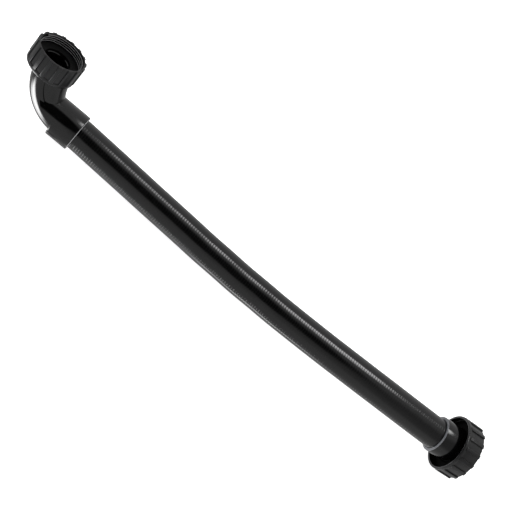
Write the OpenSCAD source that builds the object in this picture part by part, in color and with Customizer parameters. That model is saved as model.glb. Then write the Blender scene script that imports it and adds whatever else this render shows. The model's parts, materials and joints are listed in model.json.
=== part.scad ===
// Flexible drain hose with a swept elbow union at one end and a straight union at the other.
// +X runs along the hose from the elbow, +Z is the axis of the elbow's coupling nut, and the
// surface that it lies on is z = 0.

/* [Hose] */
// Outside diameter of the hose, over its ridges
hose_d = 48.3; // [47:0.1:48.3]
// Bore of the hose
hose_bore = 40; // [36:0.5:42]

/* [Elbow] */
// Outside diameter of the glue sockets
socket_d = 57; // [55:0.2:58]
// Distance from the axis of the nut to the rim of the hose socket
socket_reach = 84; // [80:1:90]
// Radius of the bend, measured at the middle of the tube
bend_r = 57; // [55:1:58]
// Diameter of the thick outer half of the bend
heel_d = 44.4; // [43:0.2:46]
// Diameter of the thin inner half of the bend
throat_d = 41; // [39:0.5:43]
// Width of the rounded fillet inside the bend
fillet_d = 40; // [36:1:40]
// Diameter of the water passage through the bend
passage_d = 34; // [30:0.5:35]

/* [Coupling nuts] */
// Number of grip ribs round each nut
rib_count = 16; // [12:1:20]
// Width of one grip rib
rib_w = 6; // [4:0.5:7]
// Height of a grip rib above the wall of the nut
rib_h = 1.7; // [1:0.1:2]
// Thickness of the web that bears on the flange
web_t = 3.5; // [3:0.1:3.5]
// Clear space round a part that slides or turns in a nut
play = 0.3; // [0.2:0.05:0.4]

/* [Elbow union] */
// Diameter of the elbow nut over its ribs
elbow_nut_d = 75; // [75:0.2:78]
// Length of the elbow nut
elbow_nut_l = 33; // [32:0.5:33]
// Bore of the elbow nut at the crests of its thread
elbow_thread_d = 64; // [63.4:0.1:64.4]
// Height of the mouth of the elbow nut above the surface
elbow_mouth_z = 115; // [114.5:0.5:116]
// How far the elbow nut slides on its tailpiece
elbow_travel = 1.5; // [1:0.1:1.5]

/* [Adapter union] */
// Diameter of the adapter nut over its ribs
adapter_nut_d = 90.6; // [90:0.2:91]
// Length of the adapter nut
adapter_nut_l = 31; // [31:0.5:33]
// Bore of the adapter nut at the crests of its thread
adapter_thread_d = 73; // [72.4:0.1:73.4]
// How far the adapter nut slides on its flange
adapter_travel = 1.7; // [1:0.1:1.7]

/* [Hidden] */
$fn = 96;
eps = 0.01;

// The middle of the footprint, which becomes the origin
middle = [397.09, -14.28, 0];

// Glue sockets and the ends of the hose
glue_gap = 0.1;
hose_z = socket_d / 2;
hose_start = bend_r;
adapter_at = [767, -26.5, 45.5];
adapter_turn = 9.5;
adapter_dir = [cos(adapter_turn), sin(adapter_turn), 0];
adapter_depth = 34;

// Points down the middle of the hose, from the stop in the elbow to the stop in the adapter
hose_route = [
    [hose_start, 0, hose_z], [84, 0, hose_z], [90, 0, hose_z],
    [118, -1.3, 28], [153, -2.2, 26.9], [187, -3.2, 25.9], [221, -4.6, 25],
    [255, -6.2, 24.5], [289, -8.2, 24.2], [323, -11, 24.2], [358, -13, 24.6],
    [392, -16, 25.4], [426, -18, 26.8], [460, -21, 28.6], [494, -23, 30.6],
    [528, -25, 32.9], [562, -27, 35.5], [596, -28.5, 38.1], [631, -29.6, 40.5],
    [665, -30, 42.5], [699, -29.8, 44], [733, -28.8, 45.1],
    adapter_at, adapter_at + adapter_depth * adapter_dir
];
hose_sides = 24;

// Bend of the elbow: its axis is a line along Y through this point
bend_z = hose_z + bend_r;
heel_end = 48;
heel_wrap = 5.4;
back_start = 14;
pad_l = 20;
pad_w = 6;
pad_h = 0.6;
pad_angle = 30;

// Rounded fillet inside the bend: top of its middle as a side view, lean and length
fillet_top = [15.4, 73];
fillet_lean = 161.6;
fillet_l = 30;

// Upper socket of the elbow and the tailpiece glued into it
collar_d = 52;
collar_z = 79.5;
neck_l = 1.7;
tail_d = 44;
tail_bore = 36;
tail_seat_z = 80;
elbow_flange_d = 62;
elbow_flange_t = 4.5;

// Stations along the axis of the adapter, measured from the rim of its collar
adapter_nut_at = 27;
adapter_web_at = 35;
adapter_flange_t = 4;
adapter_flange_d = 71;

// Nuts and washers
washer_t = 3;
washer_gap = 0.2;
groove_r = 1.3;
back_ring_l = 5;
back_ring_drop = 0.7;
rib_root = 1;
lead_in_l = 4;
lead_in_r = 1.8;
shortest_thread = 6;

// Heights and stations that follow from the travel of each nut
elbow_nut_z = elbow_mouth_z - elbow_nut_l;
elbow_web_z = bend_z + neck_l + play;
elbow_flange_z = elbow_web_z + web_t + elbow_travel + play;
elbow_washer_z = elbow_flange_z + elbow_flange_t + washer_gap;
adapter_flange_at = adapter_web_at + web_t + adapter_travel + play;
adapter_washer_at = adapter_flange_at + adapter_flange_t + washer_gap;

function unit(v) = v / norm(v);
function heading(path, i) =
    unit(path[min(i + 1, len(path) - 1)] - path[max(i - 1, 0)]);
function ring_points(path, i, r, sides) =
    let (t = heading(path, i), side = unit(cross([0, 0, 1], t)), up = cross(t, side))
    [for (k = [0 : sides - 1])
        path[i] + r * (cos(360 * k / sides) * side + sin(360 * k / sides) * up)];

module swept_pipe(path, outer_r, inner_r, sides) {
    n = len(path);
    outer = [for (i = [0 : n - 1]) each ring_points(path, i, outer_r, sides)];
    inner = [for (i = [0 : n - 1]) each ring_points(path, i, inner_r, sides)];
    m = n * sides;
    walls = [for (i = [0 : n - 2], k = [0 : sides - 1])
        let (a = i * sides + k, b = i * sides + (k + 1) % sides)
        each [[a, a + sides, b + sides, b], [m + a, m + b, m + b + sides, m + a + sides]]];
    first = [for (k = [0 : sides - 1]) [k, (k + 1) % sides, m + (k + 1) % sides, m + k]];
    last = [for (k = [0 : sides - 1])
        let (a = m - sides + k, b = m - sides + (k + 1) % sides)
        [a, m + a, m + b, b]];
    polyhedron(points = concat(outer, inner), faces = concat(walls, first, last));
}

module along_x(at) translate(at) rotate([0, 90, 0]) children();
module on_adapter(at) translate(adapter_at) rotate([0, 0, adapter_turn]) along_x([at, 0, 0]) children();

// Quarter of a tube whose middle follows the bend; from_r and to_r limit it round the bend axis
module bend(tube_r, from_r, to_r) {
    translate([bend_r, 0, bend_z])
    rotate([90, 0, 0])
    rotate_extrude(start = 180, angle = 90, $fn = 128)
    intersection() {
        translate([bend_r, 0]) circle(tube_r);
        translate([from_r, -tube_r]) square([to_r - from_r, 2 * tube_r]);
    }
}

module full_bend(tube_r) bend(tube_r, 1, bend_r + tube_r);

module elbow_body() color("#141517") translate(-middle) {
    difference() {
        union() {
            full_bend(throat_d / 2);
            bend(heel_d / 2, bend_r - heel_wrap, bend_r + heel_d / 2);
            along_x([heel_end, 0, hose_z]) cylinder(d = socket_d, h = socket_reach - heel_end);
            intersection() {
                along_x([back_start, 0, hose_z]) cylinder(d = socket_d, h = heel_end - back_start + eps);
                translate([bend_r, socket_d, bend_z]) rotate([90, 0, 0]) cylinder(r = bend_r, h = 2 * socket_d);
            }
            translate([0, 0, collar_z]) cylinder(d = collar_d, h = elbow_web_z - play - collar_z);
            translate([fillet_top[0], 0, fillet_top[1]]) rotate([0, fillet_lean, 0])
            cylinder(d = fillet_d, h = fillet_l);
            translate([heel_end, 0, hose_z]) rotate([pad_angle, 0, 0])
            translate([0, -socket_d / 2 - pad_h, -pad_w / 2]) cube([pad_l, 4, pad_w]);
        }
        full_bend(passage_d / 2);
        along_x([bend_r - eps, 0, hose_z]) cylinder(d = hose_d + 2 * glue_gap, h = socket_reach);
        translate([0, 0, tail_seat_z]) cylinder(d = tail_d + 2 * glue_gap, h = bend_z);
    }
}

module elbow_tailpiece() color("#17181a") translate(-middle) {
    difference() {
        union() {
            translate([0, 0, tail_seat_z]) cylinder(d = tail_d, h = elbow_flange_z - tail_seat_z + eps);
            translate([0, 0, elbow_flange_z]) cylinder(d = elbow_flange_d, h = elbow_flange_t);
        }
        translate([0, 0, tail_seat_z - 1]) cylinder(d = tail_bore, h = elbow_mouth_z);
    }
}

module washer(outer_d, inner_d) {
    difference() {
        cylinder(d = outer_d, h = washer_t);
        translate([0, 0, -1]) cylinder(d = inner_d, h = washer_t + 2);
    }
}

// A nut with its back edge at z = 0 and its mouth upwards
module coupling_nut(nut_d, nut_l, thread_d, web_z, hole_d, washer_z) {
    wall_r = nut_d / 2 - rib_h;
    skirt_r = wall_r - 2.4;
    thread_r = thread_d / 2;
    groove_top = washer_z + washer_t + washer_gap;
    difference() {
        union() {
            cylinder(r = wall_r, h = nut_l);
            cylinder(d = nut_d - 2 * back_ring_drop, h = back_ring_l);
            for (i = [0 : rib_count - 1]) {
                rotate([0, 0, i * 360 / rib_count])
                translate([wall_r - rib_root, -rib_w / 2, back_ring_l - rib_root])
                cube([rib_h + rib_root, rib_w, nut_l - back_ring_l + rib_root]);
            }
        }
        translate([0, 0, -1]) cylinder(r = skirt_r, h = web_z + 1);
        translate([0, 0, -1]) cylinder(d = hole_d, h = nut_l);
        translate([0, 0, web_z + web_t]) cylinder(r = thread_r, h = nut_l);
        translate([0, 0, washer_z - washer_gap])
        cylinder(r = thread_r + groove_r, h = washer_t + 2 * washer_gap);
        translate([0, 0, nut_l - lead_in_l]) cylinder(r = thread_r + lead_in_r, h = lead_in_l + 1);
    }
    assert(groove_top < nut_l - lead_in_l - shortest_thread, "the thread is too short");
}

module elbow_washer() color("#26262a") translate(-middle) {
    translate([0, 0, elbow_washer_z])
    washer(elbow_thread_d + 2 * groove_r - 2 * play, tail_bore + 4);
}

module elbow_nut() color("#101113") translate(-middle) {
    translate([0, 0, elbow_nut_z])
    coupling_nut(elbow_nut_d, elbow_nut_l, elbow_thread_d,
                 elbow_web_z - elbow_nut_z, tail_d + 4 * play,
                 elbow_washer_z - elbow_nut_z);
}

module hose() color("#0c0d0e") translate(-middle) {
    swept_pipe(hose_route, hose_d / 2, hose_bore / 2, hose_sides);
}

module adapter_body() color("#141517") translate(-middle) {
    difference() {
        union() {
            on_adapter(0) cylinder(d = socket_d, h = adapter_flange_at + eps);
            on_adapter(adapter_flange_at) cylinder(d = adapter_flange_d, h = adapter_flange_t);
        }
        on_adapter(-1) cylinder(d = hose_d + 2 * glue_gap, h = adapter_depth + 1);
        on_adapter(0) cylinder(d = hose_bore, h = adapter_nut_l * 2);
    }
}

module adapter_washer() color("#26262a") translate(-middle) {
    on_adapter(adapter_washer_at)
    washer(adapter_thread_d + 2 * groove_r - 2 * play, hose_bore + 4);
}

module adapter_nut() color("#101113") translate(-middle) {
    on_adapter(adapter_nut_at)
    coupling_nut(adapter_nut_d, adapter_nut_l, adapter_thread_d,
                 adapter_web_at - adapter_nut_at, socket_d + 4 * play,
                 adapter_washer_at - adapter_nut_at);
}

elbow_body();
elbow_tailpiece();
elbow_washer();
elbow_nut();
hose();
adapter_body();
adapter_washer();
adapter_nut();
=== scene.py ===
import json
import math
import bmesh
import bpy
from mathutils import Matrix, Vector


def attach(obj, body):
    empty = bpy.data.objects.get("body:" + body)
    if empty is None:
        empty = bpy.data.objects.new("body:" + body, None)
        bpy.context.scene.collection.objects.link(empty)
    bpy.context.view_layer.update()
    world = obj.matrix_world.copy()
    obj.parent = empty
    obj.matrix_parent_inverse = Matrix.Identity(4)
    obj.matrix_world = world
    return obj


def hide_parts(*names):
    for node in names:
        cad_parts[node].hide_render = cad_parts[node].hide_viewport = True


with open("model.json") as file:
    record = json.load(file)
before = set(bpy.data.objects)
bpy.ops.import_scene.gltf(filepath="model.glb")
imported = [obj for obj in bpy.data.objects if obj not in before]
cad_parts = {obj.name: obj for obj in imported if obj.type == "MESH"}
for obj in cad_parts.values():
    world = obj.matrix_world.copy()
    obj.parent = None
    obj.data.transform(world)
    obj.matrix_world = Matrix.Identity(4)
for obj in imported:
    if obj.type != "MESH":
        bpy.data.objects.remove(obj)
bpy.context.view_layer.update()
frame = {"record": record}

mm = 0.001
mounts = {m["name"]: m for m in frame["record"]["mounts"]}
elbowMount = mounts["elbow_thread"]
adapterMount = mounts["adapter_thread"]
elbowAxis = Vector((elbowMount["pos_m"][0], elbowMount["pos_m"][1], 0))     # foot of the elbow nut's axis
adapterAxis = Vector(adapterMount["axis"]).normalized()
rimToMount = 0.05095      # m from the collar's rim to the adapter's mount
adapterRim = Vector(adapterMount["pos_m"]) - adapterAxis * rimToMount       # middle of the collar's rim

cameraLook = {
    "azimuth": -11.95,        # degrees round the object from its front
    "elevation": 32.06,       # degrees above the floor
    "roll": 46.51,            # degrees that the camera is tipped on its side
    "lens": 73.95,            # mm on a 36 mm sensor
    "distance": 1.5803,       # m from the point it looks at
    "lookAt": (0.39909, 0.05327, 0.030),    # m from the foot of the elbow nut's axis
}


def addCamera(look):
    a, e, t = (math.radians(look[k]) for k in ("azimuth", "elevation", "roll"))
    back = Vector((math.sin(a) * math.cos(e), -math.cos(a) * math.cos(e), math.sin(e)))
    right = Vector((math.cos(a), math.sin(a), 0))
    up = back.cross(right)
    across = right * math.cos(t) + up * math.sin(t)
    above = up * math.cos(t) - right * math.sin(t)
    data = bpy.data.cameras.new("camera")
    data.sensor_width = 36
    data.lens = look["lens"]
    data.clip_start, data.clip_end = 0.05, 40
    cam = bpy.data.objects.new("camera", data)
    bpy.context.scene.collection.objects.link(cam)
    turn = Matrix((across, above, back)).transposed().to_4x4()
    spot = elbowAxis + Vector(look["lookAt"]) + back * look["distance"]
    cam.matrix_world = Matrix.Translation(spot) @ turn
    bpy.context.scene.camera = cam


addCamera(cameraLook)
print("camera placed")


def showPiece(name, bm, material, crease=30):
    # smooth shading, apart from edges sharper than crease, in degrees
    bmesh.ops.recalc_face_normals(bm, faces=bm.faces)
    for face in bm.faces:
        face.smooth = True
    for edge in bm.edges:
        if edge.is_manifold and edge.calc_face_angle(0) > math.radians(crease):
            edge.smooth = False
    mesh = bpy.data.meshes.new(name)
    bm.to_mesh(mesh)
    bm.free()
    mesh.validate()      # drops doubled faces
    piece = bpy.data.objects.new(name, mesh)
    bpy.context.scene.collection.objects.link(piece)
    if material:
        mesh.materials.append(material)
    return piece


def turnProfile(points, steps, closed=True):
    # turns a side view of (radius, height) pairs, in mm, about Z
    bm = bmesh.new()
    verts = [bm.verts.new((r * mm, 0, z * mm)) for r, z in points]
    pairs = list(zip(verts, verts[1:])) + ([(verts[-1], verts[0])] if closed else [])
    edges = [bm.edges.new(p) for p in pairs]
    bmesh.ops.spin(bm, geom=verts + edges, cent=(0, 0, 0), axis=(0, 0, 1), dvec=(0, 0, 0),
                   angle=2 * math.pi, steps=steps, use_merge=True, use_duplicate=False)
    bmesh.ops.remove_doubles(bm, verts=bm.verts, dist=0.000005)
    bmesh.ops.recalc_face_normals(bm, faces=bm.faces)
    return bm


def roundedDrum(radius, low, high, lowRound=0.0, highRound=0.0, steps=128, arc=4):
    # a solid drum about Z whose two rims are rounded
    points = [(0, low)]
    for end, size, way in ((low, lowRound, 1), (high, highRound, -1)):
        if size:
            ring = []
            for k in range(arc + 1):
                q = math.pi / 2 * k / arc
                ring.append((radius - size + size * math.sin(q), end + way * size * (1 - math.cos(q))))
            points += ring if way == 1 else ring[::-1]
        else:
            points.append((radius, end))
    points.append((0, high))
    return turnProfile(points, steps, closed=False)


def alongX(bm, offset=(0, 0, 0)):
    bmesh.ops.rotate(bm, verts=bm.verts, cent=(0, 0, 0), matrix=Matrix.Rotation(math.pi / 2, 3, "Y"))
    bmesh.ops.translate(bm, verts=bm.verts, vec=Vector(offset) * mm)
    return bm


def combine(base, other, operation):
    cut = base.modifiers.new("cut", "BOOLEAN")
    cut.operation = operation
    cut.object = other
    cut.solver = "EXACT"
    bpy.context.view_layer.update()
    graph = bpy.context.evaluated_depsgraph_get()
    mesh = bpy.data.meshes.new_from_object(base.evaluated_get(graph))
    base.modifiers.clear()
    base.data = mesh
    bpy.data.objects.remove(other)


def place(piece, matrix):
    piece.data.transform(matrix)
    piece.data.update()
    return piece


toElbow = Matrix.Translation(elbowAxis)
xAxis, zAxis = Vector((1, 0, 0)), Vector((0, 0, 1))
sideways = zAxis.cross(adapterAxis).normalized()
adapterTurn = Matrix((sideways, adapterAxis.cross(sideways), adapterAxis)).transposed().to_4x4()
toAdapter = Matrix.Translation(adapterRim) @ adapterTurn


def paintedLightMask(nodes, links, where, paintedBand):
    # 1 between two distances along an axis and two distances out from it; it places a painted highlight or
    # painted shade
    def vectorMath(operation, a, b):
        n = nodes.new("ShaderNodeVectorMath")
        n.operation = operation
        for socket, value in zip(n.inputs, (a, b)):
            if isinstance(value, bpy.types.NodeSocket):
                links.new(value, socket)
            else:
                socket.default_value = value
        return n

    def within(value, low, high, soft=0.0001):
        m = nodes.new("ShaderNodeMapRange")
        m.inputs["From Min"].default_value = low - soft
        m.inputs["From Max"].default_value = low + soft
        links.new(value, m.inputs["Value"])
        n = nodes.new("ShaderNodeMapRange")
        n.inputs["From Min"].default_value = high + soft
        n.inputs["From Max"].default_value = high - soft
        links.new(value, n.inputs["Value"])
        both = nodes.new("ShaderNodeMath")
        both.operation = "MULTIPLY"
        links.new(m.outputs["Result"], both.inputs[0])
        links.new(n.outputs["Result"], both.inputs[1])
        return both.outputs["Value"]

    offset = vectorMath("SUBTRACT", where.outputs["Object"], paintedBand["at"]).outputs["Vector"]
    along = vectorMath("DOT_PRODUCT", offset, paintedBand["axis"]).outputs["Value"]
    out = vectorMath("LENGTH", vectorMath("CROSS_PRODUCT", offset, paintedBand["axis"]).outputs["Vector"],
                     (0, 0, 0)).outputs["Value"]
    mask = nodes.new("ShaderNodeMath")
    mask.operation = "MULTIPLY"
    links.new(within(along, *[d * mm for d in paintedBand["along"]]), mask.inputs[0])
    links.new(within(out, *[d * mm for d in paintedBand["out"]]), mask.inputs[1])
    return mask.outputs["Value"]


def makePlastic(name, look, paintedLights=()):
    mat = bpy.data.materials.new(name)
    mat.use_nodes = True
    nodes, links = mat.node_tree.nodes, mat.node_tree.links
    shader = nodes["Principled BSDF"]
    shader.inputs["IOR"].default_value = look["ior"]
    shader.inputs["Specular IOR Level"].default_value = look["gloss"]
    where = nodes.new("ShaderNodeTexCoord")

    def noise(scale, detail):
        n = nodes.new("ShaderNodeTexNoise")
        n.inputs["Scale"].default_value = scale
        n.inputs["Detail"].default_value = detail
        links.new(where.outputs["Object"], n.inputs["Vector"])
        return n.outputs["Fac"]

    def spread(source, low, high, fromLow=0.3, fromHigh=0.7):
        m = nodes.new("ShaderNodeMapRange")
        m.inputs["From Min"].default_value = fromLow
        m.inputs["From Max"].default_value = fromHigh
        m.inputs["To Min"].default_value = low
        m.inputs["To Max"].default_value = high
        links.new(source, m.inputs["Value"])
        return m.outputs["Result"]

    # faint cloudiness in the moulded colour
    tint = nodes.new("ShaderNodeValToRGB")
    tint.color_ramp.elements[0].position = 0.35
    tint.color_ramp.elements[1].position = 0.65
    tint.color_ramp.elements[0].color = (*look["darkTint"], 1)
    tint.color_ramp.elements[1].color = (*look["lightTint"], 1)
    links.new(noise(look["cloudScale"], 4), tint.inputs["Fac"])
    colour = tint.outputs["Color"]
    gloss = None
    # painted highlights and painted shade: each band's colour is mixed in, and where given its gloss too
    for paintedBand in paintedLights:
        mask = paintedLightMask(nodes, links, where, paintedBand)
        mix = nodes.new("ShaderNodeMix")
        mix.data_type = "RGBA"
        links.new(mask, mix.inputs[0])
        links.new(colour, mix.inputs[6])
        mix.inputs[7].default_value = (*paintedBand["tint"], 1)
        colour = mix.outputs[2]
        if "gloss" in paintedBand:
            dull = nodes.new("ShaderNodeMapRange")
            links.new(mask, dull.inputs["Value"])
            dull.inputs["To Max"].default_value = paintedBand["gloss"]
            if gloss:
                links.new(gloss, dull.inputs["To Min"])
            else:
                dull.inputs["To Min"].default_value = look["gloss"]
            gloss = dull.outputs["Result"]
    links.new(colour, shader.inputs["Base Color"])
    if gloss:
        links.new(gloss, shader.inputs["Specular IOR Level"])
    # patchy gloss
    links.new(spread(noise(look["patchScale"], 3), *look["roughness"]), shader.inputs["Roughness"])
    # a slow swell of the moulded surface, and fine grain over it
    swell = nodes.new("ShaderNodeBump")
    swell.inputs["Strength"].default_value = look["swellStrength"]
    swell.inputs["Distance"].default_value = look["swellDepth"]
    links.new(noise(look["swellScale"], 2), swell.inputs["Height"])
    grain = nodes.new("ShaderNodeBump")
    grain.inputs["Strength"].default_value = look["grainStrength"]
    grain.inputs["Distance"].default_value = look["grainDepth"]
    links.new(noise(look["grainScale"], 3), grain.inputs["Height"])
    links.new(swell.outputs["Normal"], grain.inputs["Normal"])
    links.new(grain.outputs["Normal"], shader.inputs["Normal"])
    return mat


glossyLook = {
    "ior": 1.5, "gloss": 0.5,
    "darkTint": (0.0012, 0.0012, 0.0013), "lightTint": (0.0022, 0.0022, 0.0024),
    "cloudScale": 60, "patchScale": 90, "roughness": (0.10, 0.15),
    "swellScale": 55, "swellDepth": 0.0004, "swellStrength": 0.12,
    "grainScale": 2600, "grainDepth": 0.00003, "grainStrength": 0.12,
}
satinLook = {
    "ior": 1.5, "gloss": 0.5,
    "darkTint": (0.003, 0.0031, 0.0035), "lightTint": (0.006, 0.0062, 0.0068),
    "cloudScale": 80, "patchScale": 140, "roughness": (0.28, 0.38),
    "swellScale": 90, "swellDepth": 0.0004, "swellStrength": 0.2,
    "grainScale": 1500, "grainDepth": 0.00008, "grainStrength": 0.35,
}
hoseLook = {
    "ior": 1.5, "gloss": 0.5,
    "darkTint": (0.0014, 0.0014, 0.0015), "lightTint": (0.0026, 0.0026, 0.0028),
    "cloudScale": 45, "patchScale": 120, "roughness": (0.10, 0.15),
    "swellScale": 40, "swellDepth": 0.0006, "swellStrength": 0.2,
    "grainScale": 1800, "grainDepth": 0.00004, "grainStrength": 0.2,
}
rubberLook = {
    "ior": 1.5, "gloss": 0.15,
    "darkTint": (0.0015, 0.0015, 0.0016), "lightTint": (0.003, 0.003, 0.0031),
    "cloudScale": 120, "patchScale": 200, "roughness": (0.6, 0.75),
    "swellScale": 200, "swellDepth": 0.0002, "swellStrength": 0.2,
    "grainScale": 2500, "grainDepth": 0.00006, "grainStrength": 0.4,
}
# painted highlights and painted shade on the black plastic: paler bands are painted highlights on rims and
# thread crests, darker and duller patches are painted shade in hollows; in mm along each axis and out from
# it
paintedLightLook = {
    # painted highlight: a pale line on the rounded rim of the hose socket
    "elbowRimHighlight": {"at": elbowAxis + Vector((0, 0, 0.0285)), "axis": xAxis, "along": (83.3, 84.2),
                 "out": (20, 29), "tint": (0.42, 0.42, 0.43)},
    # painted highlight: a pale bluish line on the collar's rim
    "collarRimHighlight": {"at": adapterRim, "axis": adapterAxis, "along": (-0.3, 0.9),
                  "out": (20, 29), "tint": (0.20, 0.205, 0.22)},
    # painted shade: the inside of the elbow nut made darker and duller
    "elbowInsideShade": {"at": elbowAxis, "axis": zAxis, "along": (84, 113.5), "out": (18, 35),
                    "tint": (0.001, 0.001, 0.001), "gloss": 0.12},
    # painted shade: the recess at the back of the adapter nut made near black and without gloss
    "adapterBackShade": {"at": adapterRim, "axis": adapterAxis, "along": (26, 56), "out": (25, 41.45),
                    "tint": (0.0005, 0.0005, 0.0005), "gloss": 0.01},
    # painted highlight: a pale line on the inner edge of the adapter nut's back ring
    "adapterRingHighlight": {"at": adapterRim, "axis": adapterAxis, "along": (26.8, 27.5), "out": (41.5, 42.3),
                    "tint": (0.07, 0.07, 0.075)},
    # painted highlights: pale lines on the crests of the elbow nut's thread
    "elbowThreadHighlight": {"at": elbowAxis, "axis": zAxis, "along": (100, 114), "out": (31, 32.25),
                    "tint": (0.38, 0.38, 0.39), "gloss": 0.5},
    # painted highlights: pale lines on the crests of the adapter nut's thread
    "adapterThreadHighlight": {"at": adapterRim, "axis": adapterAxis, "along": (48, 55), "out": (35, 37),
                      "tint": (0.12, 0.12, 0.125), "gloss": 0.5},
}
glossyBlack = makePlastic("glossyBlackPlastic", glossyLook)
# the elbow, collar and nut plastics carry painted highlights and painted shade
elbowBlack = makePlastic("elbowBlackPlastic", glossyLook, [paintedLightLook["elbowRimHighlight"]])
collarBlack = makePlastic("collarBlackPlastic", glossyLook, [paintedLightLook["collarRimHighlight"]])
nutPaintedLights = ("elbowInsideShade", "adapterBackShade", "adapterRingHighlight", "elbowThreadHighlight", "adapterThreadHighlight")
satinBlack = makePlastic("satinBlackPlastic", satinLook, [paintedLightLook[k] for k in nutPaintedLights])
hoseBlack = makePlastic("flexibleHosePlastic", hoseLook)
sealRubber = makePlastic("sealRubber", rubberLook)
print("materials made")

hoseSizes = {
    "pitch": 7.94,        # mm between turns of the wide ridge
    "facets": 48,         # steps round one turn
    "bore": 20.0,         # mm, inside radius
    # (distance along one pitch, outside radius) in mm: a wide ridge, then a narrow one
    "ridges": [(0, 23.98), (0.2, 24.07), (0.36, 24.12), (0.5, 24.126), (1.985, 24.13), (3.47, 24.126),
               (3.61, 24.12), (3.77, 24.07), (3.97, 23.98), (4.17, 24.05), (4.33, 24.1), (4.47, 24.106),
               (5.955, 24.11), (7.44, 24.106), (7.58, 24.1), (7.74, 24.05), (7.94, 23.98)],
    # middle of the hose, mm from the foot of the elbow nut's axis
    "route": [(57, 0, 28.5), (84, 0, 28.5), (90, 0, 28.5), (118, -1.3, 28), (153, -2.2, 26.9),
              (187, -3.2, 25.9), (221, -4.6, 25), (255, -6.2, 24.5), (289, -8.2, 24.2),
              (323, -11, 24.2), (358, -13, 24.6), (392, -16, 25.4), (426, -18, 26.8),
              (460, -21, 28.6), (494, -23, 30.6), (528, -25, 32.9), (562, -27, 35.5),
              (596, -28.5, 38.1), (631, -29.6, 40.5), (665, -30, 42.5), (699, -29.8, 44),
              (733, -28.8, 45.1)],
    "insertion": 34,      # mm of hose inside the adapter's collar
}


def curveThrough(points, perSpan=24):
    # a smooth curve through the points, as evenly spaced places
    ends = [points[0] * 2 - points[1]] + points + [points[-1] * 2 - points[-2]]
    fine = []
    for i in range(1, len(ends) - 2):
        a, b, c, d = ends[i - 1:i + 3]
        span = max((c - b).length, 1e-9)
        m0 = (c - a) / max((c - a).length, 1e-9) * span
        m1 = (d - b) / max((d - b).length, 1e-9) * span
        for k in range(perSpan):
            u = k / perSpan
            fine.append(b * (2 * u**3 - 3 * u**2 + 1) + m0 * (u**3 - 2 * u**2 + u)
                        + c * (3 * u**2 - 2 * u**3) + m1 * (u**3 - u**2))
    fine.append(ends[-2])
    return fine


hoseRoute = [elbowAxis + Vector(p) * mm for p in hoseSizes["route"]]
hoseRoute += [adapterRim, adapterRim + adapterAxis * hoseSizes["insertion"] * mm]
hoseLine = curveThrough(hoseRoute)
hoseMarks = [0.0]
for here, there in zip(hoseLine, hoseLine[1:]):
    hoseMarks.append(hoseMarks[-1] + (there - here).length)
hoseLength = hoseMarks[-1]


def placeOnHose(distance):
    # place and directions of the hose's middle at a distance from its start
    d = min(max(distance, 0), hoseLength)
    low, high = 0, len(hoseMarks) - 1
    while high - low > 1:
        mid = (low + high) // 2
        low, high = (mid, high) if hoseMarks[mid] <= d else (low, mid)
    u = (d - hoseMarks[low]) / (hoseMarks[high] - hoseMarks[low])
    spot = hoseLine[low].lerp(hoseLine[high], u)
    before = hoseLine[max(low - 1, 0)]
    after = hoseLine[min(high + 1, len(hoseLine) - 1)]
    mid = (hoseLine[high] - hoseLine[low]).normalized()
    way = ((hoseLine[low] - before).normalized() * (1 - u) + (after - hoseLine[high]).normalized() * u
           + mid) if 0 < low and high < len(hoseLine) - 1 else mid
    way = way.normalized()
    side = zAxis.cross(way).normalized()
    return spot, side, way.cross(side)


def buildHose(sizes):
    pitch, facets = sizes["pitch"] * mm, sizes["facets"]
    turns = int(hoseLength / pitch) + 3
    bm = bmesh.new()
    verts = [bm.verts.new((r * mm, 0, z * mm - 2 * pitch)) for z, r in sizes["ridges"]]
    edges = [bm.edges.new(p) for p in zip(verts, verts[1:])]
    bmesh.ops.spin(bm, geom=verts + edges, cent=(0, 0, 0), axis=(0, 0, 1), dvec=(0, 0, pitch / facets),
                   angle=2 * math.pi, steps=facets, use_merge=False, use_duplicate=False)
    oneTurn = bm.verts[:] + bm.edges[:] + bm.faces[:]
    for k in range(1, turns + 1):
        copy = bmesh.ops.duplicate(bm, geom=oneTurn)["geom"]
        bmesh.ops.translate(bm, verts=[g for g in copy if isinstance(g, bmesh.types.BMVert)],
                            vec=(0, 0, k * pitch))
    bmesh.ops.remove_doubles(bm, verts=bm.verts, dist=0.00002)
    ends = []
    for height, keepsBelow in ((0, False), (hoseLength, True)):
        cut = bmesh.ops.bisect_plane(bm, geom=bm.verts[:] + bm.edges[:] + bm.faces[:], dist=1e-7,
                                     plane_co=(0, 0, height), plane_no=(0, 0, 1),
                                     clear_outer=keepsBelow, clear_inner=not keepsBelow)
        ends.append([g for g in cut["geom_cut"] if isinstance(g, bmesh.types.BMEdge)])
    # the bore, cut across often enough to follow the route
    rings = [bmesh.ops.create_circle(bm, segments=facets, radius=sizes["bore"] * mm,
                                     matrix=Matrix.Translation((0, 0, z)))["verts"]
             for z in (0, hoseLength)]
    loops = [list({e for v in ring for e in v.link_edges}) for ring in rings]
    bore = bmesh.ops.bridge_loops(bm, edges=loops[0] + loops[1])
    lengthwise = [e for e in bore["edges"] if abs(e.verts[0].co.z - e.verts[1].co.z) > hoseLength / 2]
    bmesh.ops.subdivide_edges(bm, edges=lengthwise, cuts=150, use_grid_fill=True)
    for end, loop in zip(ends, loops):
        bmesh.ops.bridge_loops(bm, edges=[e for e in end if e.is_valid] + [e for e in loop if e.is_valid])
    for v in bm.verts:
        spot, side, up = placeOnHose(v.co.z)
        v.co = spot + side * v.co.x + up * v.co.y
    return showPiece("hoseTube", bm, hoseBlack, crease=60)


hoseTube = buildHose(hoseSizes)
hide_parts("hose")
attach(hoseTube, "hose_assembly")
print("hose built,", round(hoseLength, 4), "m long,", len(hoseTube.data.polygons), "faces")

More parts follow.
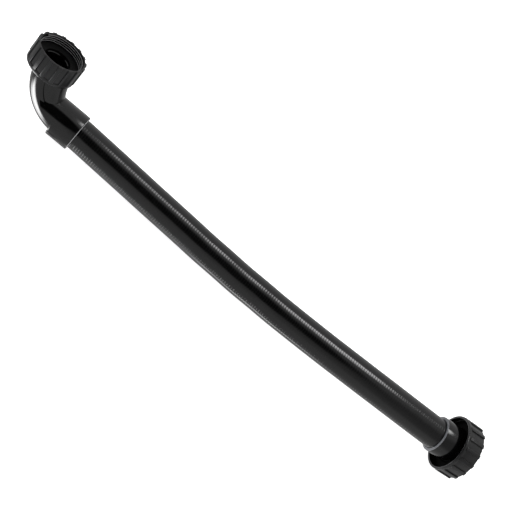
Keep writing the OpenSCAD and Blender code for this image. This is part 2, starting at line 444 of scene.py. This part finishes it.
elbowSizes = {
    "socket": 28.5,       # mm, outside radius of the hose socket
    "socketFrom": 48, "socketTo": 84,
    "sleeveFrom": 14,     # the socket's inner half runs back to here
    "axisHeight": 28.5,
    "bend": 57,           # mm, radius of the bend
    "heel": 22.2, "throat": 20.5, "passage": 17,
    "collar": 26, "collarFrom": 79.5, "collarTo": 87.2,
    "hoseBore": 24.25, "tailBore": 22.1, "tailFrom": 80,
    "pad": (20, 6, 0.6), "padAngle": 30,
    "heelWrap": 104,      # degrees that the heel reaches round the tube on each side
    "filletWidth": 40,
    # height and reach of the fillet inside the bend, from the foot of the nut's axis
    "fillet": [(42, 44), (54, 42), (60, 39.2), (66, 36.8), (73, 34.8), (81, 33)],
}


def bendTube(sizes, outline, overlap=1.0, steps=64):
    # sweeps an outline, (out from the bend's axis, across), a quarter turn round the bend
    bm = bmesh.new()
    ring = [bm.verts.new((-r * mm, y * mm, 0)) for r, y in outline]
    face = bm.faces.new(ring)
    tilt = math.radians(overlap)
    bmesh.ops.rotate(bm, verts=ring, cent=(0, 0, 0), matrix=Matrix.Rotation(tilt, 3, "Y"))
    bmesh.ops.spin(bm, geom=[face] + list(face.edges) + ring, cent=(0, 0, 0), axis=(0, -1, 0),
                   dvec=(0, 0, 0), angle=math.pi / 2 + 2 * tilt, steps=steps,
                   use_merge=False, use_duplicate=False)
    bmesh.ops.translate(bm, verts=bm.verts,
                        vec=Vector((sizes["bend"], 0, sizes["axisHeight"] + sizes["bend"])) * mm)
    bmesh.ops.recalc_face_normals(bm, faces=bm.faces)
    return bm


def ringOutline(middle, radius, count=64, fromAngle=0, toAngle=360):
    whole = toAngle - fromAngle >= 360
    marks = count if whole else count + 1
    return [(middle + radius * math.cos(math.radians(fromAngle + (toAngle - fromAngle) * k / count)),
             radius * math.sin(math.radians(fromAngle + (toAngle - fromAngle) * k / count)))
            for k in range(marks)]


def buildElbow(sizes):
    top = sizes["axisHeight"] + sizes["bend"]
    height = sizes["axisHeight"]
    body = showPiece("elbowBody", bendTube(sizes, ringOutline(sizes["bend"], sizes["throat"])), None)
    wrap = sizes["heelWrap"]
    heelOutline = ringOutline(sizes["bend"], sizes["heel"], 48, -wrap, wrap)
    heel = showPiece("heel", bendTube(sizes, heelOutline, 0), None)
    socket = showPiece("socket", alongX(roundedDrum(sizes["socket"], sizes["socketFrom"], sizes["socketTo"],
                                                    1.6, 1.8, arc=6), (0, 0, height)), None)
    sleeve = showPiece("sleeve", alongX(roundedDrum(sizes["socket"] - 0.01, sizes["sleeveFrom"],
                                                    sizes["socketFrom"] + 3), (0, 0, height)), None)
    inner = roundedDrum(sizes["bend"], -40, 40, steps=160)
    bmesh.ops.rotate(inner, verts=inner.verts, cent=(0, 0, 0), matrix=Matrix.Rotation(math.pi / 2, 3, "X"))
    bmesh.ops.translate(inner, verts=inner.verts, vec=Vector((sizes["bend"], 0, top)) * mm)
    combine(sleeve, showPiece("innerSide", inner, None), "INTERSECT")
    collar = showPiece("collar", roundedDrum(sizes["collar"], sizes["collarFrom"], sizes["collarTo"],
                                             0.8, 0.4), None)
    fillet = bmesh.new()
    loops = []
    for z, reach in sizes["fillet"]:
        half = sizes["filletWidth"] / 2
        start = sizes["bend"] - math.sqrt(sizes["bend"]**2 - (top - z)**2)      # middle of the bent tube
        nose = [(reach - half + half * math.cos(q), half * math.sin(q))
                for q in (math.pi * (k / 32 - 0.5) for k in range(33))]
        outline = [(start, -half)] + nose + [(start, half)]
        ring = [fillet.verts.new((x * mm, y * mm, z * mm)) for x, y in outline]
        loops.append([fillet.edges.new(pair) for pair in zip(ring, ring[1:] + ring[:1])])
    for low, high in zip(loops, loops[1:]):
        bmesh.ops.bridge_loops(fillet, edges=low + high)
    bmesh.ops.holes_fill(fillet, edges=[e for e in fillet.edges if e.is_boundary], sides=0)
    bmesh.ops.triangulate(fillet, faces=fillet.faces)
    fillet = showPiece("fillet", fillet, None)
    long, wide, proud = sizes["pad"]
    pad = bmesh.new()
    bmesh.ops.create_cube(pad, size=1)
    bmesh.ops.scale(pad, verts=pad.verts, vec=(long * mm, 4 * mm, wide * mm))
    bmesh.ops.bevel(pad, geom=pad.edges[:], offset=0.7 * mm, offset_type="OFFSET", segments=3,
                    profile=0.5, affect="EDGES", material=-1)
    bmesh.ops.translate(pad, verts=pad.verts,
                        vec=(long / 2 * mm, -(sizes["socket"] + proud - 2) * mm, 0))
    bmesh.ops.rotate(pad, verts=pad.verts, cent=(0, 0, 0),
                     matrix=Matrix.Rotation(math.radians(sizes["padAngle"]), 3, "X"))
    bmesh.ops.translate(pad, verts=pad.verts, vec=(sizes["socketFrom"] * mm, 0, height * mm))
    pad = showPiece("pad", pad, None)
    for extra in (heel, socket, sleeve, collar, fillet, pad):
        combine(body, extra, "UNION")
    past = 120      # mm, clear of the elbow's ends
    passage = bendTube(sizes, ringOutline(sizes["bend"], sizes["passage"]), 6)
    hoseBore = alongX(roundedDrum(sizes["hoseBore"], sizes["bend"], past), (0, 0, height))
    tailBore = roundedDrum(sizes["tailBore"], sizes["tailFrom"], past)
    for name, cutter in (("passage", passage), ("hoseBore", hoseBore), ("tailBore", tailBore)):
        combine(body, showPiece(name, cutter, None), "DIFFERENCE")
    bm = bmesh.new()
    bm.from_mesh(body.data)
    bpy.data.objects.remove(body)
    bmesh.ops.remove_doubles(bm, verts=bm.verts, dist=0.00001)
    return place(showPiece("elbowBody", bm, elbowBlack, crease=24), toElbow)


elbowBody = buildElbow(elbowSizes)
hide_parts("elbow_body")
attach(elbowBody, "hose_assembly")
print("elbow built,", len(elbowBody.data.polygons), "faces")

tailSizes = {"outer": 22, "bore": 18, "from": 80, "flangeFrom": 92.8, "flange": 31, "thick": 4.5}
collarSizes = {"outer": 28.5, "hoseBore": 24.25, "depth": 34, "bore": 20, "flangeFrom": 40.5,
               "flange": 35.5, "thick": 4}
washerSizes = {
    "elbowWasher": {"outer": 33.0, "bore": 20, "from": 97.5, "thick": 3},
    "adapterWasher": {"outer": 37.5, "bore": 22, "from": 44.7, "thick": 3},
}


def buildTailpiece(s):
    top = s["flangeFrom"] + s["thick"]
    side = [(s["bore"], s["from"]), (s["outer"] - 0.6, s["from"]), (s["outer"], s["from"] + 0.6),
            (s["outer"], s["flangeFrom"] - 0.8), (s["outer"] + 0.8, s["flangeFrom"]),
            (s["flange"] - 0.5, s["flangeFrom"]), (s["flange"], s["flangeFrom"] + 0.5),
            (s["flange"], top - 0.5), (s["flange"] - 0.5, top),
            (26.2, top), (25.9, top - 0.4), (25.3, top - 0.4), (25, top),
            (s["bore"] + 0.8, top), (s["bore"], top - 0.8)]
    return place(showPiece("elbowTailpiece", turnProfile(side, 128), glossyBlack), toElbow)


def buildCollar(s):
    top = s["flangeFrom"] + s["thick"]
    side = [(s["hoseBore"] + 0.5, 0), (s["outer"] - 1.0, 0), (s["outer"] - 0.3, 0.3), (s["outer"], 1.0),
            (s["outer"], s["flangeFrom"] - 1), (s["outer"] + 1, s["flangeFrom"]),
            (s["flange"] - 0.5, s["flangeFrom"]), (s["flange"], s["flangeFrom"] + 0.5),
            (s["flange"], top - 0.5), (s["flange"] - 0.5, top), (s["bore"] + 0.8, top),
            (s["bore"], top - 0.8), (s["bore"], s["depth"]), (s["hoseBore"], s["depth"]),
            (s["hoseBore"], 0.5)]
    return place(showPiece("adapterBody", turnProfile(side, 144), collarBlack), toAdapter)


def buildWasher(name, s, matrix):
    low, high = s["from"], s["from"] + s["thick"]
    side = [(s["bore"], low + 0.4), (s["bore"] + 0.4, low), (s["outer"] - 0.5, low),
            (s["outer"], low + 0.5), (s["outer"], high - 0.5), (s["outer"] - 0.5, high),
            (s["bore"] + 0.4, high), (s["bore"], high - 0.4)]
    return place(showPiece(name, turnProfile(side, 128), sealRubber), matrix)


elbowTailpiece = buildTailpiece(tailSizes)
adapterBody = buildCollar(collarSizes)
elbowWasher = buildWasher("elbowWasher", washerSizes["elbowWasher"], toElbow)
adapterWasher = buildWasher("adapterWasher", washerSizes["adapterWasher"], toAdapter)
for piece, node, body, slot in ((elbowTailpiece, "elbow_tailpiece", "hose_assembly", "moulded_black"),
                                (adapterBody, "adapter_body", "hose_assembly", "moulded_black"),
                                (elbowWasher, "elbow_washer", "elbow_washer_body", "seal_rubber"),
                                (adapterWasher, "adapter_washer", "adapter_washer_body", "seal_rubber")):
    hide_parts(node)
    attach(piece, body)
print("tailpiece, collar and washers built")

ribSizes = {"count": 16, "width": 6.0, "height": 1.7, "round": 0.55, "root": 1.2}
elbowNutSizes = {
    "outer": 37.5, "long": 33, "from": 82, "webFrom": 5.5, "web": 3.5, "hole": 22.6, "crest": 32.0,
    "root": 33.3, "leadIn": 33.8, "threadFrom": 19.85, "threadTo": 31.2, "pitch": 3.3,
}
adapterNutSizes = {
    "outer": 45.3, "long": 31, "from": 27, "webFrom": 8, "web": 3.5, "hole": 29.1, "crest": 36.5,
    "root": 37.8, "leadIn": 38.3, "threadFrom": 22.0, "threadTo": 29.2, "pitch": 3.3,
}


def buildNut(name, s, matrix):
    wall = s["outer"] - ribSizes["height"]
    skirt = wall - 2.4
    ring = s["outer"] - 0.7
    web, webTop, tall = s["webFrom"], s["webFrom"] + s["web"], s["long"]
    side = [(skirt, 0.5), (skirt + 0.15, 0.15), (skirt + 0.5, 0), (ring - 0.7, 0), (ring - 0.2, 0.2),
            (ring, 0.7), (ring, 4.3), (ring - 0.2, 4.8), (wall, 5.1), (wall, tall - 0.8),
            (wall - 0.25, tall - 0.25), (wall - 0.8, tall), (s["leadIn"] + 0.5, tall),
            (s["leadIn"] + 0.1, tall - 0.15), (s["leadIn"], tall - 0.5), (s["leadIn"], tall - 3.7),
            (s["root"], tall - 4.2), (s["root"], webTop + 0.4),
            (s["root"] - 0.4, webTop), (s["hole"] + 0.4, webTop), (s["hole"], webTop - 0.4),
            (s["hole"], web + 0.4), (s["hole"] + 0.4, web), (skirt - 0.4, web), (skirt, web - 0.4)]
    bm = turnProfile(side, 144)
    # grip ribs, from the smooth back ring to the mouth
    for k in range(ribSizes["count"]):
        rib = bmesh.ops.create_cube(bm, size=1)["verts"]
        deep = ribSizes["height"] + ribSizes["root"]
        bmesh.ops.scale(bm, verts=rib, vec=Vector((deep, ribSizes["width"], tall - 4.2)) * mm)
        edges = list({e for v in rib for e in v.link_edges if e.verts[0].co.x > 0 and e.verts[1].co.x > 0})
        made = bmesh.ops.bevel(bm, geom=edges, offset=ribSizes["round"] * mm, offset_type="OFFSET",
                               segments=3, profile=0.5, affect="EDGES", material=-1)
        rib = list({v for v in rib if v.is_valid} | set(made["verts"]))
        bmesh.ops.translate(bm, verts=rib,
                            vec=Vector((s["outer"] - deep / 2, 0, (tall + 4.2) / 2 - 0.05)) * mm)
        bmesh.ops.rotate(bm, verts=rib, cent=(0, 0, 0),
                         matrix=Matrix.Rotation(2 * math.pi * k / ribSizes["count"], 3, "Z"))
    # one start of internal thread
    turns = (s["threadTo"] - s["threadFrom"]) / s["pitch"]
    steps = int(72 * turns)
    low = s["threadFrom"]
    ridge = [bm.verts.new((r * mm, 0, z * mm)) for r, z in
             ((s["leadIn"] + 0.3, low - 1.0), (s["crest"] + 0.1, low - 0.45), (s["crest"], low - 0.3),
              (s["crest"], low + 0.3), (s["crest"] + 0.1, low + 0.45), (s["leadIn"] + 0.3, low + 1.0))]
    face = bm.faces.new(ridge)
    bmesh.ops.spin(bm, geom=[face] + list(face.edges) + ridge, cent=(0, 0, 0), axis=(0, 0, 1),
                   dvec=(0, 0, s["pitch"] * turns / steps * mm), angle=2 * math.pi * turns, steps=steps,
                   use_merge=False, use_duplicate=False)
    bmesh.ops.translate(bm, verts=bm.verts, vec=(0, 0, s["from"] * mm))
    return place(showPiece(name, bm, satinBlack, crease=38), matrix)


elbowNut = buildNut("elbowNut", elbowNutSizes, toElbow)
adapterNut = buildNut("adapterNut", adapterNutSizes, toAdapter)
for piece, node in ((elbowNut, "elbow_nut"), (adapterNut, "adapter_nut")):
    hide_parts(node)
    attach(piece, node + "_body")
print("nuts built,", len(elbowNut.data.polygons), "and", len(adapterNut.data.polygons), "faces")

lightLook = {
    "surround": 0.66,     # brightness of the studio all round
    "floorGlow": 1.0,     # keeps the floor's white even under the object
    "lobes": [            # (direction, degrees that it starts and ends fading over, brightness)
        ((0.50, -0.78, 0.35), (15, 42), 0.34),          # dim end of the room
        ((-0.290, -0.684, 0.669), (25, 32), 0.004),     # unlit side of the room
        ((-0.42, -0.05, -0.91), (9, 19), 8),            # heel of the bend, farther edge
        ((-0.42, -0.33, -0.85), (7, 17), 17),           # heel of the bend
        ((0.165, 0.12, 0.979), (4, 7.5), 8),            # streak along the hose, three lamps side by side
        ((0.165, 0.02, 0.986), (4, 7.5), 11),
        ((0.165, -0.08, 0.983), (4, 7.5), 6),
        ((0.155, -0.14, -0.978), (3, 8), 5),            # thin line under the hose
    ],
}


def buildStage(look):
    bm = bmesh.new()
    bmesh.ops.create_grid(bm, x_segments=1, y_segments=1, size=8)
    floor = showPiece("studioFloor", bm, None)
    mat = bpy.data.materials.new("paleFloor")
    mat.use_nodes = True
    shader = mat.node_tree.nodes["Principled BSDF"]
    shader.inputs["Base Color"].default_value = (0.9, 0.9, 0.9, 1)
    shader.inputs["Roughness"].default_value = 0.9
    shader.inputs["Emission Color"].default_value = (1, 1, 1, 1)
    shader.inputs["Emission Strength"].default_value = look["floorGlow"]
    floor.data.materials.append(mat)
    floor.visible_glossy = False      # the studio's own light stands in for the floor in gloss
    world = bpy.data.worlds.new("studio")
    world.use_nodes = True
    bpy.context.scene.world = world
    nodes, links = world.node_tree.nodes, world.node_tree.links
    back = nodes["Background"]
    way = nodes.new("ShaderNodeTexCoord")

    def nearness(direction, inner, outer):
        dot = nodes.new("ShaderNodeVectorMath")
        dot.operation = "DOT_PRODUCT"
        links.new(way.outputs["Generated"], dot.inputs[0])
        dot.inputs[1].default_value = Vector(direction).normalized()
        m = nodes.new("ShaderNodeMapRange")
        m.interpolation_type = "SMOOTHSTEP"
        m.inputs["From Min"].default_value = math.cos(math.radians(outer))
        m.inputs["From Max"].default_value = math.cos(math.radians(inner))
        links.new(dot.outputs["Value"], m.inputs["Value"])
        return m.outputs["Result"]

    def between(factor, low, high):
        m = nodes.new("ShaderNodeMapRange")
        links.new(factor, m.inputs["Value"])
        for socket, value in (("To Min", low), ("To Max", high)):
            if isinstance(value, (int, float)):
                m.inputs[socket].default_value = value
            else:
                links.new(value, m.inputs[socket])
        return m.outputs["Result"]

    level = look["surround"]
    for direction, fade, brightness in look["lobes"]:
        level = between(nearness(direction, *fade), level, brightness)
    links.new(level, back.inputs["Strength"])
    back.inputs["Color"].default_value = (1, 1, 1, 1)


buildStage(lightLook)
bpy.context.scene.view_settings.view_transform = "Standard"
print("stage and light set")
